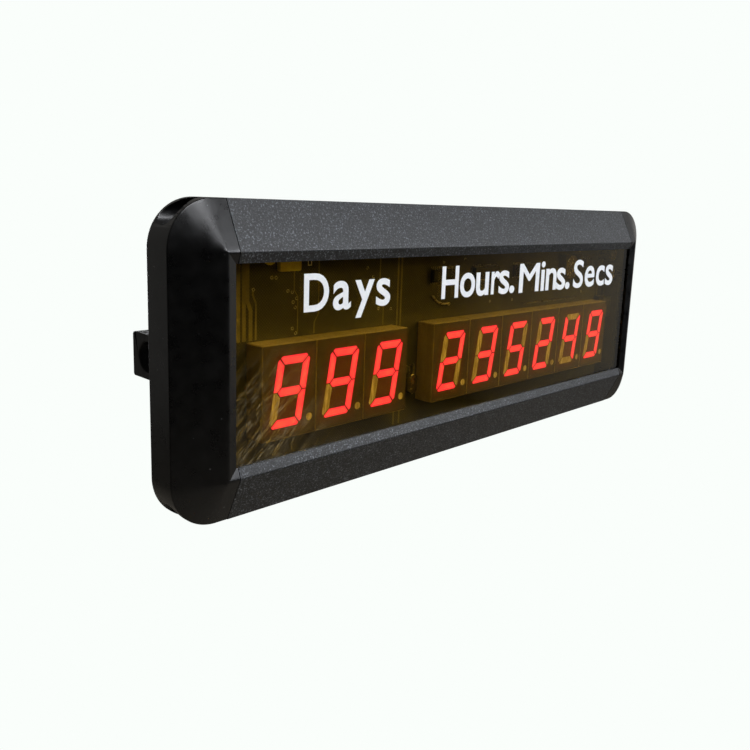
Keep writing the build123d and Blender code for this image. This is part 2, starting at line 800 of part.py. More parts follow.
def control_ribbon():
    """Flat cable from the main board's header to the control board."""
    middle = board_front_y - 2.0
    return block((123.6, control_face_x - board_thickness), (middle - 0.45, middle + 0.45),
                 (-5.7, 5.7))


def sounder():
    return rod_y(sounder_radius, -cap_wall - sounder_depth, -cap_wall, -foot_centre_x, sounder_z)


def sounder_leads():
    middle = (board_front_y + board_back_y) / 2
    start = -foot_centre_x + sounder_radius
    leads = []
    for z in (sounder_z - 1.5, sounder_z + 1.5):
        leads.append(rod_x(0.5, start, -board_half_width, middle, z))
    return Compound(children=leads)


def build_parts():
    """Every sub-part by name."""
    outer = outer_shape()
    hollow = bevelled_block(cap_wall, -cap_wall)
    shell = plain_cap(outer, hollow)
    parts = {
        "housing_profile": housing_profile(),
        "left_end_cap": left_cap(shell),
        "right_end_cap": right_cap(shell),
        "cap_screws": cap_screws(),
        "window_pane": window_pane(),
        "unit_legends": unit_legends(),
        "left_bracket": mirror(bracket(), about=Plane.YZ),
        "right_bracket": bracket(),
        "bracket_screws": bracket_screws(),
        "threaded_inserts": threaded_inserts(),
        "main_board": main_board(),
        "digit_pins": digit_pins(),
        "controller_chip": on_board(16.0, 24.0, 18.0, 7.5, 2.4),
        "driver_chips": driver_chips(),
        "voltage_regulator": on_board(106.0, 26.0, 6.6, 6.1, 2.3),
        "smoothing_capacitors": smoothing_capacitors(),
        "film_capacitor": film_capacitor(),
        "ceramic_resonator": ceramic_resonator(),
        "clock_crystal": clock_crystal(),
        "header_pins": header_pins(),
        "battery_holder": battery_holder(),
        "coin_cell": coin_cell(),
        "infrared_receiver": infrared_receiver(),
        "control_board": control_board(),
        "tactile_switches": tactile_switches(),
        "power_switch_frame": rocker_frame(),
        "power_rocker": power_rocker(),
        "power_inlet": power_inlet(),
        "inlet_contact": inlet_contact(),
        "ribbon_header": ribbon_header(),
        "control_ribbon": control_ribbon(),
        "sounder": sounder(),
        "sounder_leads": sounder_leads(),
    }
    for name, z in zip(button_names, button_places()):
        parts[name] = button(z)
        parts[name.replace("button", "plunger")] = plunger(z)
    dark = []
    for index, (x, numeral) in enumerate(zip(module_centres(), displayed_number)):
        lit = lit_segments[numeral]
        parts[f"digit_{index + 1}_shell"] = digit_shell(x)
        parts[f"digit_{index + 1}_lit_bars"] = Compound(children=segments(x, lit))
        dark += segments(x, [name for name in "abcdefg" if name not in lit])
        dark.append(decimal_point(x, 0, segment_depth))
    parts["dark_bars_and_points"] = Compound(children=[s for bar in dark for s in bar.solids()])
    return parts


os.makedirs("parts", exist_ok=True)
for node, shape in build_parts().items():
    export_step(shape, f"parts/{node}.step")
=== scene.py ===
import math

import bpy
from mathutils import Matrix, Vector


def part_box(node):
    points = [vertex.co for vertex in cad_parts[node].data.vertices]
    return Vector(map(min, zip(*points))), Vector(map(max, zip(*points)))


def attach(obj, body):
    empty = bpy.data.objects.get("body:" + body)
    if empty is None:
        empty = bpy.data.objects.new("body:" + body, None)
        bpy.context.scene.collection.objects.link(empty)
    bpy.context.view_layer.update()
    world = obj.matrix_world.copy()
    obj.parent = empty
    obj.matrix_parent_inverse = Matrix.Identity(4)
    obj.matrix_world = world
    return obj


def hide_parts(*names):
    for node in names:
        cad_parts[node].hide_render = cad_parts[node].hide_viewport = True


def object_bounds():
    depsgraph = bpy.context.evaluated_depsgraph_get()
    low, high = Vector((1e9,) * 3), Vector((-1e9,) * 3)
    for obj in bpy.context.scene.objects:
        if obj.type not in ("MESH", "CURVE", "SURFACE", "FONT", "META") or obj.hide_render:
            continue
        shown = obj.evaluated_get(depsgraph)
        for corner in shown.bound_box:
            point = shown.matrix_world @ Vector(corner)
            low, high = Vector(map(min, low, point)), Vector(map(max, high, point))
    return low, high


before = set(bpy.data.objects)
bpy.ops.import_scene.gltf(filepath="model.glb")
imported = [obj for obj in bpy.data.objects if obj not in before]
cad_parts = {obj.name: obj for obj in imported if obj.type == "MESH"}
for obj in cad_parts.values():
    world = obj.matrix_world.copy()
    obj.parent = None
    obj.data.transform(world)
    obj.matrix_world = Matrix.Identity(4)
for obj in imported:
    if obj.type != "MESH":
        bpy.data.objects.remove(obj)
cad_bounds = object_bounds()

# A wall timer: a powder-coated aluminium profile closed by two black end caps, with
# an amber window, nine seven-segment digits on one circuit board, three push buttons,
# a power switch and a power socket in the right cap, and a hanging bracket at each end.
# Metres, in the frame of the CAD: X to the viewer's right, Y to the back, Z up.

MM = 0.001
HOUSING = "housing"
DIGITS = 9

# how far the characters lean sideways for each unit of height
SLANT = 0.1727

# corner points nearer than this are one point, and planes nearer than this are one plane
SAME_POINT = 0.002 * MM
SAME_PLANE = 0.001 * MM
# a face this close to the front plane of its piece lies in it
IN_FRONT = 0.01 * MM

# where the camera stands, which way it looks in degrees, its lens and its small shift
CAMERA_PLACE = (-0.268221, -0.218598, 0.053797)
CAMERA_YAW, CAMERA_PITCH, CAMERA_ROLL = 45.65716, -10.61539, 1.99192
CAMERA_LENS, CAMERA_SENSOR = 36.6124, 36
CAMERA_SHIFT_X, CAMERA_SHIFT_Y = -0.007207, -0.038865

# each soft box: its name, place, size, power in watts and tint
SOFT_BOXES = (("main_softbox", (0.0, -0.8, 1.2), (0.8, 0.5), 16.0, "#f8faff"),
              ("edge_softbox", (0.95, -1.1, 0.5), (0.9, 0.35), 8.0, "#f6f9ff"),
              ("corner_softbox", (0.72, -0.95, 0.78), (0.2, 0.12), 2.2, "#f6f9ff"),
              ("back_softbox", (0.3, 1.3, -0.02), (0.9, 0.3), 7.0, "#f8faff"))

# the floor's radius, how far below the timer it lies, and where its paleness starts and ends to fade
FLOOR_RADIUS, FLOOR_DROP = 0.75, 0.22
FLOOR_FADE_START, FLOOR_FADE_END = 0.35, 0.75


# --- small tools ------------------------------------------------------------------
def linear(code):
    """An sRGB hex colour as the linear colour that a shader takes."""
    channels = [int(code[i:i + 2], 16) / 255 for i in (1, 3, 5)]
    return tuple(c / 12.92 if c <= 0.04045 else ((c + 0.055) / 1.055) ** 2.4 for c in channels) + (1.0,)


def take_only(piece):
    """Leaves only this piece selected, and active."""
    if bpy.context.mode != "OBJECT":
        bpy.ops.object.mode_set(mode="OBJECT")
    bpy.ops.object.select_all(action="DESELECT")
    bpy.context.view_layer.objects.active = piece
    piece.select_set(True)


def open_faces(piece, test):
    """Opens a piece for editing with the faces selected that pass the test."""
    take_only(piece)
    bpy.ops.object.mode_set(mode="EDIT")
    bpy.ops.mesh.select_mode(type="FACE")
    bpy.ops.mesh.select_all(action="DESELECT")
    bpy.ops.object.mode_set(mode="OBJECT")
    for face in piece.data.polygons:
        face.select = test(face)
    bpy.ops.object.mode_set(mode="EDIT")


def open_edges(piece, test):
    """Opens a piece for editing with the edges selected whose two ends pass the test."""
    take_only(piece)
    bpy.ops.object.mode_set(mode="EDIT")
    bpy.ops.mesh.select_mode(type="EDGE")
    bpy.ops.mesh.select_all(action="DESELECT")
    bpy.ops.object.mode_set(mode="OBJECT")
    corners = piece.data.vertices
    for edge in piece.data.edges:
        edge.select = test(corners[edge.vertices[0]].co, corners[edge.vertices[1]].co)
    bpy.ops.object.mode_set(mode="EDIT")


def close(piece):
    """Leaves edit mode and puts the piece's place into its mesh."""
    take_only(piece)
    bpy.ops.object.transform_apply(location=True, rotation=True, scale=True)


def box_piece(name, low, high):
    """A cube primitive brought to the size and place between two corners."""
    low, high = Vector(low), Vector(high)
    bpy.ops.object.select_all(action="DESELECT")
    bpy.ops.mesh.primitive_cube_add(size=1.0, location=(low + high) / 2)
    piece = bpy.context.object
    piece.name = name
    piece.scale = high - low
    close(piece)
    return piece


def round_piece(name, radius, low, high, axis, centre, sides=32):
    """A cylinder primitive along an axis, from low to high on it."""
    place = Vector(centre)
    place["XYZ".index(axis)] = (low + high) / 2
    turn = {"X": (0, math.pi / 2, 0), "Y": (math.pi / 2, 0, 0), "Z": (0, 0, 0)}[axis]
    bpy.ops.object.select_all(action="DESELECT")
    bpy.ops.mesh.primitive_cylinder_add(vertices=sides, radius=radius, depth=abs(high - low),
                                        location=place, rotation=turn)
    piece = bpy.context.object
    piece.name = name
    close(piece)
    return piece


def shifted_copy(piece, shift, name):
    """A copy with its own mesh, moved by a distance."""
    twin = bpy.data.objects.new(name, piece.data.copy())
    bpy.context.scene.collection.objects.link(twin)
    twin.data.transform(Matrix.Translation(Vector(shift)))
    return twin


def joined(pieces, name):
    """Several pieces as one object."""
    take_only(pieces[0])
    for piece in pieces:
        piece.select_set(True)
    if len(pieces) > 1:
        bpy.ops.object.join()
    pieces[0].name = name
    return pieces[0]


def round_edges(piece, radius, segments=2, angle=35):
    """Rounds every edge sharper than an angle."""
    take_only(piece)
    bevel = piece.modifiers.new("edges", "BEVEL")
    bevel.width = radius
    bevel.segments = segments
    bevel.limit_method = "ANGLE"
    bevel.angle_limit = math.radians(angle)
    bevel.use_clamp_overlap = False
    bpy.ops.object.modifier_apply(modifier=bevel.name)


def smooth(piece, angle=32):
    """Smooth shading up to an angle, with the flat faces kept flat."""
    take_only(piece)
    bpy.ops.object.shade_smooth_by_angle(angle=math.radians(angle))
    weigh = piece.modifiers.new("weigh", "WEIGHTED_NORMAL")
    weigh.keep_sharp = True
    bpy.ops.object.modifier_apply(modifier=weigh.name)


def merged_copy(node, name):
    """A copy of a CAD node's mesh with its loose triangles joined up into whole faces."""
    piece = bpy.data.objects.new(name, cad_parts[node].data.copy())
    bpy.context.scene.collection.objects.link(piece)
    open_faces(piece, lambda face: True)
    bpy.ops.mesh.remove_doubles(threshold=SAME_POINT)
    bpy.ops.mesh.dissolve_limited(angle_limit=math.radians(0.4))
    bpy.ops.object.mode_set(mode="OBJECT")
    return piece


def dress(piece, finish, body=HOUSING, replaces=()):
    """Gives a finished piece its material and its body."""
    piece.data.materials.clear()
    piece.data.materials.append(finish)
    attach(piece, body)
    if replaces:
        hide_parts(*replaces)
    return piece


def feed(node, sockets):
    """Links or sets a node's inputs. A node given for a socket stands for its first output."""
    for socket, value in sockets.items():
        if isinstance(value, bpy.types.Node):
            value = value.outputs[0]
        if isinstance(value, bpy.types.NodeSocket):
            node.id_data.links.new(value, node.inputs[socket])
        else:
            node.inputs[socket].default_value = value


def add_node(tree, kind, sockets=None, stops=(), **settings):
    """Adds a shader node with its settings, its inputs and, for a ramp, its stops: pairs of
    a place and a colour, in rising order."""
    node = tree.nodes.new(kind)
    for name, value in settings.items():
        setattr(node, name, value)
    feed(node, sockets or {})
    for index, (place, code) in enumerate(stops):
        elements = node.color_ramp.elements
        element = elements[index] if index < len(elements) else elements.new(place)
        element.position = place
        element.color = linear(code)
    return node


def new_material(name, **sockets):
    """A material with a Principled shader, its fixed numbers set, and its object coordinates."""
    material = bpy.data.materials.new(name)
    material.use_nodes = True
    tree = material.node_tree
    shader = tree.nodes["Principled BSDF"]
    feed(shader, {socket.replace("_", " "): value for socket, value in sockets.items()})
    place = add_node(tree, "ShaderNodeTexCoord").outputs["Object"]
    return material, tree, shader, place


# --- materials ----------------------------------------------------------------------
def powder_coat():
    """Fine-texture polyester powder coat, baked on the extruded aluminium: a dark grey
    with a dull shine, whose orange-peel crests are painted pale as highlights, the specks
    of light they catch. The real crests are about 0.25 mm apart and are drawn at 0.6 mm
    so that they show."""
    material, tree, shader, place = new_material("powder_coated_aluminium", IOR=1.5)
    crests = add_node(tree, "ShaderNodeTexNoise", {"Vector": place, "Scale": 1 / (0.6 * MM), "Detail": 2.0})
    cloud = add_node(tree, "ShaderNodeTexNoise", {"Vector": place, "Scale": 1 / (7 * MM), "Detail": 3.0})
    # painted highlight: the upper stops paint the crests pale, as the light they catch
    base = add_node(tree, "ShaderNodeValToRGB", {"Fac": crests},
                    stops=[(0.36, "#111213"), (0.5, "#1e2022"), (0.6, "#373a3e"), (0.7, "#6c7278")])
    tint = add_node(tree, "ShaderNodeValToRGB", {"Fac": cloud}, stops=[(0.3, "#d8d6d2"), (0.7, "#ffffff")])
    mixed = add_node(tree, "ShaderNodeMix", {0: 1.0, 6: base, 7: tint}, data_type="RGBA",
                     blend_type="MULTIPLY")
    rough = add_node(tree, "ShaderNodeMapRange", {"Value": crests, "From Min": 0.35, "From Max": 0.7,
                                                  "To Min": 0.5, "To Max": 0.35})
    bump = add_node(tree, "ShaderNodeBump", {"Height": crests, "Distance": 0.05 * MM, "Strength": 0.55})
    feed(shader, {"Base Color": mixed.outputs[2], "Roughness": rough, "Normal": bump})
    return material


def cap_plastic():
    """Black ABS, injection moulded with a fine spark-eroded texture: it has a satin shine
    that handling has polished in patches, and holds a little dust."""
    material, tree, shader, place = new_material("moulded_black_abs", IOR=1.52)
    fine = add_node(tree, "ShaderNodeTexNoise", {"Vector": place, "Scale": 1 / (0.3 * MM), "Detail": 2.0})
    patches = add_node(tree, "ShaderNodeTexNoise", {"Vector": place, "Scale": 1 / (5 * MM), "Detail": 4.0})
    dust = add_node(tree, "ShaderNodeTexVoronoi", {"Vector": place, "Scale": 1 / (5.0 * MM)})
    speck = add_node(tree, "ShaderNodeMapRange", {"Value": dust, "From Min": 0.035, "From Max": 0.055,
                                                  "To Min": 1.0, "To Max": 0.0})
    base = add_node(tree, "ShaderNodeValToRGB", {"Fac": patches}, stops=[(0.3, "#040404"), (0.7, "#070707")])
    mixed = add_node(tree, "ShaderNodeMix", {0: speck, 6: base, 7: linear("#5d5f60")}, data_type="RGBA")
    rough = add_node(tree, "ShaderNodeMapRange", {"Value": patches, "From Min": 0.3, "From Max": 0.7,
                                                  "To Min": 0.25, "To Max": 0.36})
    bump = add_node(tree, "ShaderNodeBump", {"Height": fine, "Distance": 0.008 * MM, "Strength": 0.25})
    feed(shader, {"Base Color": mixed.outputs[2], "Roughness": rough, "Normal": bump})
    return material


def amber_acrylic():
    """Cast amber acrylic, 2 mm thick: clear enough to see the board through, and glossy,
    with cleaning scuffs in its lower left corner and a little dust. Light that falls
    through it is tinted once on each face."""
    material, tree, shader, place = new_material("cast_amber_acrylic", IOR=1.49, Roughness=0.015,
                                                 Transmission_Weight=1.0, Base_Color=linear("#dabf70"))
    # scuffs run up to the right at about 42 degrees and fade within 45 mm of the corner
    turned = add_node(tree, "ShaderNodeMapping", {"Vector": place, "Rotation": (0, math.radians(42), 0)})
    stretched = add_node(tree, "ShaderNodeMapping", {"Vector": turned, "Scale": (0.09, 1, 1)})
    lines = add_node(tree, "ShaderNodeTexNoise", {"Vector": stretched, "Scale": 1 / (0.36 * MM),
                                                  "Detail": 2.0})
    groups = add_node(tree, "ShaderNodeTexNoise", {"Vector": stretched, "Scale": 1 / (2.4 * MM),
                                                   "Detail": 0.0})
    thin = add_node(tree, "ShaderNodeMapRange", {"Value": lines, "From Min": 0.52, "From Max": 0.6})
    bundle = add_node(tree, "ShaderNodeMapRange", {"Value": groups, "From Min": 0.4, "From Max": 0.55})
    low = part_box("window_pane")[0]
    corner = (low.x + 14 * MM, low.y, low.z + 6 * MM)
    away = add_node(tree, "ShaderNodeVectorMath", {0: place, 1: corner}, operation="DISTANCE")
    near = add_node(tree, "ShaderNodeMapRange", {"Value": away.outputs["Value"], "From Min": 8 * MM,
                                                 "From Max": 40 * MM, "To Min": 1.0, "To Max": 0.0})
    both = add_node(tree, "ShaderNodeMath", {0: thin, 1: bundle}, operation="MULTIPLY")
    scuff = add_node(tree, "ShaderNodeMath", {0: both, 1: near}, operation="MULTIPLY")
    dust = add_node(tree, "ShaderNodeTexVoronoi", {"Vector": place, "Scale": 1 / (4.2 * MM)})
    speck = add_node(tree, "ShaderNodeMapRange", {"Value": dust, "From Min": 0.02, "From Max": 0.04,
                                                  "To Min": 0.5, "To Max": 0.0})
    mark = add_node(tree, "ShaderNodeMath", {0: scuff, 1: speck}, operation="MAXIMUM")
    amount = add_node(tree, "ShaderNodeMath", {0: mark, 1: 0.24}, operation="MULTIPLY")
    haze = add_node(tree, "ShaderNodeBsdfDiffuse", {"Color": linear("#c8b48a")})
    marked = add_node(tree, "ShaderNodeMixShader", {0: amount, 1: shader, 2: haze})
    light = add_node(tree, "ShaderNodeLightPath")
    through = add_node(tree, "ShaderNodeBsdfTransparent", {"Color": linear("#eadfb0")})
    shadow = light.outputs["Is Shadow Ray"]
    surface = add_node(tree, "ShaderNodeMixShader", {0: shadow, 1: marked, 2: through})
    feed(tree.nodes["Material Output"], {"Surface": surface})
    return material


def screen_ink():
    """Opaque white screen-printing ink on the window: flat, cool white and slightly uneven."""
    material, tree, shader, place = new_material("white_screen_ink", IOR=1.5, Roughness=0.55)
    uneven = add_node(tree, "ShaderNodeTexNoise", {"Vector": place, "Scale": 1 / (1.2 * MM), "Detail": 3.0})
    tone = add_node(tree, "ShaderNodeValToRGB", {"Fac": uneven}, stops=[(0.3, "#edf3f8"), (0.7, "#fafdff")])
    bump = add_node(tree, "ShaderNodeBump", {"Height": uneven, "Distance": 0.01 * MM, "Strength": 0.4})
    feed(shader, {"Base Color": tone, "Normal": bump})
    return material


def module_case():
    """The bare polycarbonate of a digit module's case: warm off-white and slightly glossy,
    where the dark face print doesn't cover it."""
    material, tree, shader, place = new_material("moulded_polycarbonate_case", IOR=1.58, Roughness=0.4)
    upright = add_node(tree, "ShaderNodeMapping", {"Vector": place, "Scale": (1, 1, 0.4)})
    flow = add_node(tree, "ShaderNodeTexNoise", {"Vector": upright, "Scale": 1 / (3 * MM), "Detail": 2.0})
    tone = add_node(tree, "ShaderNodeValToRGB", {"Fac": flow}, stops=[(0.3, "#8f8572"), (0.7, "#a39984")])
    fine = add_node(tree, "ShaderNodeTexNoise", {"Vector": place, "Scale": 1 / (0.2 * MM), "Detail": 2.0})
    bump = add_node(tree, "ShaderNodeBump", {"Height": fine, "Distance": 0.008 * MM, "Strength": 0.4})
    feed(shader, {"Base Color": tone, "Normal": bump})
    return material


def module_face():
    """The dark grey print on a module's face: matt, with a faint red glow painted round the
    character as emission, standing in for the lit bars' light scattered through the case
    under it. The distance from the middle of the module is stored on the mesh."""
    # the red emission colour is the painted glow round the character
    material, tree, shader, place = new_material("dark_module_face_print", IOR=1.5, Roughness=0.6,
                                                 Emission_Color=linear("#ff2012"))
    cloud = add_node(tree, "ShaderNodeTexNoise", {"Vector": place, "Scale": 1 / (2.5 * MM), "Detail": 3.0})
    tone = add_node(tree, "ShaderNodeValToRGB", {"Fac": cloud}, stops=[(0.3, "#37312f"), (0.7, "#433b38")])
    from_middle = add_node(tree, "ShaderNodeAttribute", attribute_name="from_middle")
    parts = add_node(tree, "ShaderNodeSeparateXYZ", {0: from_middle.outputs["Vector"]})
    # the painted glow leans as the character does: full within 6 mm of its middle line, gone at 10.5 mm
    lean = add_node(tree, "ShaderNodeMath", {0: parts.outputs["Z"], 1: -SLANT, 2: parts.outputs["X"]},
                    operation="MULTIPLY_ADD")
    sideways = add_node(tree, "ShaderNodeMath", {0: lean}, operation="ABSOLUTE")
    across = add_node(tree, "ShaderNodeMapRange", {"Value": sideways, "From Min": 6.0 * MM,
                                                   "From Max": 10.5 * MM, "To Min": 1.0, "To Max": 0.0})
    height = add_node(tree, "ShaderNodeMath", {0: parts.outputs["Z"]}, operation="ABSOLUTE")
    upward = add_node(tree, "ShaderNodeMapRange", {"Value": height, "From Min": 11.5 * MM,
                                                   "From Max": 16.0 * MM, "To Min": 1.0, "To Max": 0.0})
    both = add_node(tree, "ShaderNodeMath", {0: across, 1: upward}, operation="MULTIPLY")
    # painted glow: faint red emission on the print near the character
    glow = add_node(tree, "ShaderNodeMath", {0: both, 1: 0.05}, operation="MULTIPLY")
    feed(shader, {"Base Color": tone, "Emission Strength": glow})
    return material


def lit_epoxy():
    """Red light-emitting epoxy: brightest and most orange along the middle of each bar,
    which is marked on the mesh."""
    material, tree, shader, place = new_material("lit_red_led_epoxy", IOR=1.5, Roughness=0.35,
                                                 Base_Color=linear("#7a1c18"), Emission_Strength=1.9)
    core = add_node(tree, "ShaderNodeAttribute", attribute_name="core")
    spots = add_node(tree, "ShaderNodeTexNoise", {"Vector": place, "Scale": 1 / (3.2 * MM), "Detail": 1.0})
    share = add_node(tree, "ShaderNodeMapRange", {"Value": spots, "From Min": 0.3, "From Max": 0.7,
                                                  "To Min": 0.55, "To Max": 1.0})
    level = add_node(tree, "ShaderNodeMath", {0: core.outputs["Fac"], 1: share}, operation="MULTIPLY")
    tint = add_node(tree, "ShaderNodeValToRGB", {"Fac": level}, stops=[(0.0, "#ff2466"), (1.0, "#ff5a76")])
    feed(shader, {"Emission Color": tint})
    return material


def unlit_epoxy():
    """Milky diffusing epoxy of the bars that are off: pale, glossy and cloudy,
    with pale streaks up and down it painted into its colour as highlights.
    """
    material, tree, shader, place = new_material("milky_led_epoxy", IOR=1.5, Roughness=0.25)
    along = add_node(tree, "ShaderNodeMapping", {"Vector": place, "Scale": (1.6, 1, 0.25)})
    cloud_and_highlight_streaks = add_node(tree, "ShaderNodeTexNoise", {"Vector": along, "Scale": 1 / (1.6 * MM), "Detail": 2.0})
    # cloudy tone, and painted highlight: the palest stop paints streaks that run up and down the bars
    tone = add_node(tree, "ShaderNodeValToRGB", {"Fac": cloud_and_highlight_streaks},
                    stops=[(0.3, "#9f9684"), (0.5, "#bdb49f"), (0.75, "#f1ead6")])
    fine = add_node(tree, "ShaderNodeTexNoise", {"Vector": place, "Scale": 1 / (0.7 * MM), "Detail": 2.0})
    bump = add_node(tree, "ShaderNodeBump", {"Height": fine, "Distance": 0.02 * MM, "Strength": 0.4})
    feed(shader, {"Base Color": tone, "Normal": bump})
    return material


def solder_mask():
    """Dark solder mask over glass-fibre laminate: glossy, with the weave showing faintly."""
    material, tree, shader, place = new_material("solder_masked_laminate", IOR=1.5, Roughness=0.35)
    weave = add_node(tree, "ShaderNodeTexChecker", {"Vector": place, "Scale": 1 / (0.6 * MM)})
    cloud = add_node(tree, "ShaderNodeTexNoise", {"Vector": place, "Scale": 1 / (9 * MM), "Detail": 3.0})
    base = add_node(tree, "ShaderNodeValToRGB", {"Fac": cloud}, stops=[(0.3, "#272a21"), (0.7, "#33372c")])
    mixed = add_node(tree, "ShaderNodeMix", {0: 0.06, 6: base, 7: weave}, data_type="RGBA")
    bump = add_node(tree, "ShaderNodeBump", {"Height": cloud, "Distance": 0.03 * MM, "Strength": 0.3})
    feed(shader, {"Base Color": mixed.outputs[2], "Normal": bump})
    return material


def masked_copper():
    """Copper tracks under the solder mask: paler than the bare board, with raised edges."""
    material, tree, shader, place = new_material("copper_under_mask", IOR=1.5, Roughness=0.32)
    cloud = add_node(tree, "ShaderNodeTexNoise", {"Vector": place, "Scale": 1 / (4 * MM), "Detail": 3.0})
    tone = add_node(tree, "ShaderNodeValToRGB", {"Fac": cloud}, stops=[(0.3, "#6d6b50"), (0.7, "#838062")])
    feed(shader, {"Base Color": tone})
    return material


def metal(name, dark, pale, roughness, size, stretch=(1, 1, 1)):
    """A bare or plated metal whose tone and roughness drift a little over its surface."""
    material, tree, shader, place = new_material(name, Metallic=1.0)
    stretched = add_node(tree, "ShaderNodeMapping", {"Vector": place, "Scale": stretch})
    drift = add_node(tree, "ShaderNodeTexNoise", {"Vector": stretched, "Scale": 1 / size, "Detail": 3.0})
    tone = add_node(tree, "ShaderNodeValToRGB", {"Fac": drift}, stops=[(0.3, dark), (0.7, pale)])
    rough = add_node(tree, "ShaderNodeMapRange", {"Value": drift, "From Min": 0.3, "From Max": 0.7,
                                                  "To Min": roughness - 0.07, "To Max": roughness + 0.07})
    feed(shader, {"Base Color": tone, "Roughness": rough})
    return material


def moulded(name, dark, pale, roughness, size=2 * MM, ior=1.5, depth=0.015 * MM):
    """A moulded or cast plastic with a cloudy tone and a fine texture."""
    material, tree, shader, place = new_material(name, IOR=ior)
    cloud = add_node(tree, "ShaderNodeTexNoise", {"Vector": place, "Scale": 1 / size, "Detail": 3.0})
    tone = add_node(tree, "ShaderNodeValToRGB", {"Fac": cloud}, stops=[(0.3, dark), (0.7, pale)])
    rough = add_node(tree, "ShaderNodeMapRange", {"Value": cloud, "From Min": 0.3, "From Max": 0.7,
                                                  "To Min": roughness - 0.06, "To Max": roughness + 0.06})
    fine = add_node(tree, "ShaderNodeTexNoise", {"Vector": place, "Scale": 1 / (0.25 * MM), "Detail": 2.0})
    bump = add_node(tree, "ShaderNodeBump", {"Height": fine, "Distance": depth, "Strength": 0.5})
    feed(shader, {"Base Color": tone, "Roughness": rough, "Normal": bump})
    return material


finishes = {
    "powder_coated_profile": powder_coat(),
    "black_cap_plastic": cap_plastic(),
    "amber_acrylic": amber_acrylic(),
    "white_print": screen_ink(),
    "module_plastic": module_case(),
    "lit_red": lit_epoxy(),
    "unlit_epoxy": unlit_epoxy(),
    "board_laminate": solder_mask(),
    # black moulding epoxy of the chips, laser-dull
    "chip_epoxy": moulded("black_moulding_epoxy", "#121213", "#1a1a1b", 0.6),
    # dipped yellow polyester film capacitor
    "yellow_film": moulded("yellow_capacitor_epoxy", "#dcd550", "#eae664", 0.38),
    # tinned copper leads and pads
    "tinned_copper": metal("tinned_copper", "#a9a8a2", "#cfcec8", 0.3, 0.8 * MM),
    # black shrink sleeve of an electrolytic capacitor
    "capacitor_sleeve": moulded("black_pvc_sleeve", "#17181c", "#1f2126", 0.3),
    # nickel-plated steel can
    "nickel_can": metal("nickel_plated_steel", "#9c9a93", "#b9b7ae", 0.24, 2.5 * MM),
    # zinc-plated steel screws, faintly blue
    "zinc_plated_steel": metal("zinc_plated_steel", "#8f9499", "#b4b9be", 0.3, 1.1 * MM),
    # turned brass inserts
    "brass_insert": metal("turned_brass", "#a88643", "#c7a55a", 0.28, 0.9 * MM, (1, 0.1, 1)),
    # glass-filled nylon brackets, a little duller than the caps
    "bracket_plastic": moulded("glass_filled_nylon", "#111112", "#1b1b1c", 0.5, 3 * MM, depth=0.03 * MM),
    # grey push buttons, rubbed smooth on top
    "button_plastic": moulded("moulded_acetal", "#202124", "#2a2b2e", 0.36),
    # grey PVC ribbon cable
    "grey_ribbon": moulded("grey_pvc_ribbon", "#4f5256", "#62656a", 0.45),
    # red PVC insulation of the sounder's leads
    "red_lead": moulded("red_pvc_insulation", "#7d1410", "#9c1c16", 0.4),
}
copper_tracks = masked_copper()
# the module face print, with a painted red glow round each character
face_print_and_painted_glow = module_face()

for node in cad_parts.values():
    slot = node.data.materials[0].name.split(".")[0]
    node.data.materials.clear()
    node.data.materials.append(finishes[slot])


# --- camera, light and floor -----------------------------------------------------------
def set_camera():
    """Looks at the timer from its left, a little above it."""
    yaw, pitch, roll = (math.radians(turn) for turn in (CAMERA_YAW, CAMERA_PITCH, CAMERA_ROLL))
    forward = Vector((math.sin(yaw) * math.cos(pitch), math.cos(yaw) * math.cos(pitch), math.sin(pitch)))
    level = Vector((math.cos(yaw), -math.sin(yaw), 0))
    upright = level.cross(forward)
    right = level * math.cos(roll) + upright * math.sin(roll)
    up = -level * math.sin(roll) + upright * math.cos(roll)
    turn = Matrix((right, up, -forward)).transposed()
    lens = bpy.data.cameras.new("camera")
    lens.lens = CAMERA_LENS
    lens.sensor_width = CAMERA_SENSOR
    lens.shift_x = CAMERA_SHIFT_X
    lens.shift_y = CAMERA_SHIFT_Y
    lens.clip_start = 0.01
    camera = bpy.data.objects.new("camera", lens)
    camera.matrix_world = Matrix.Translation(CAMERA_PLACE) @ turn.to_4x4()
    bpy.context.scene.collection.objects.link(camera)
    bpy.context.scene.camera = camera


def soft_light(name, place, size, power, tint):
    """A soft box that faces the timer."""
    lamp = bpy.data.lights.new(name, "AREA")
    lamp.shape = "RECTANGLE"
    lamp.size, lamp.size_y = size
    lamp.energy = power
    lamp.color = linear(tint)[:3]
    light = bpy.data.objects.new(name, lamp)
    light.location = place
    light.rotation_euler = (-Vector(place)).to_track_quat("-Z", "Y").to_euler()
    bpy.context.scene.collection.objects.link(light)


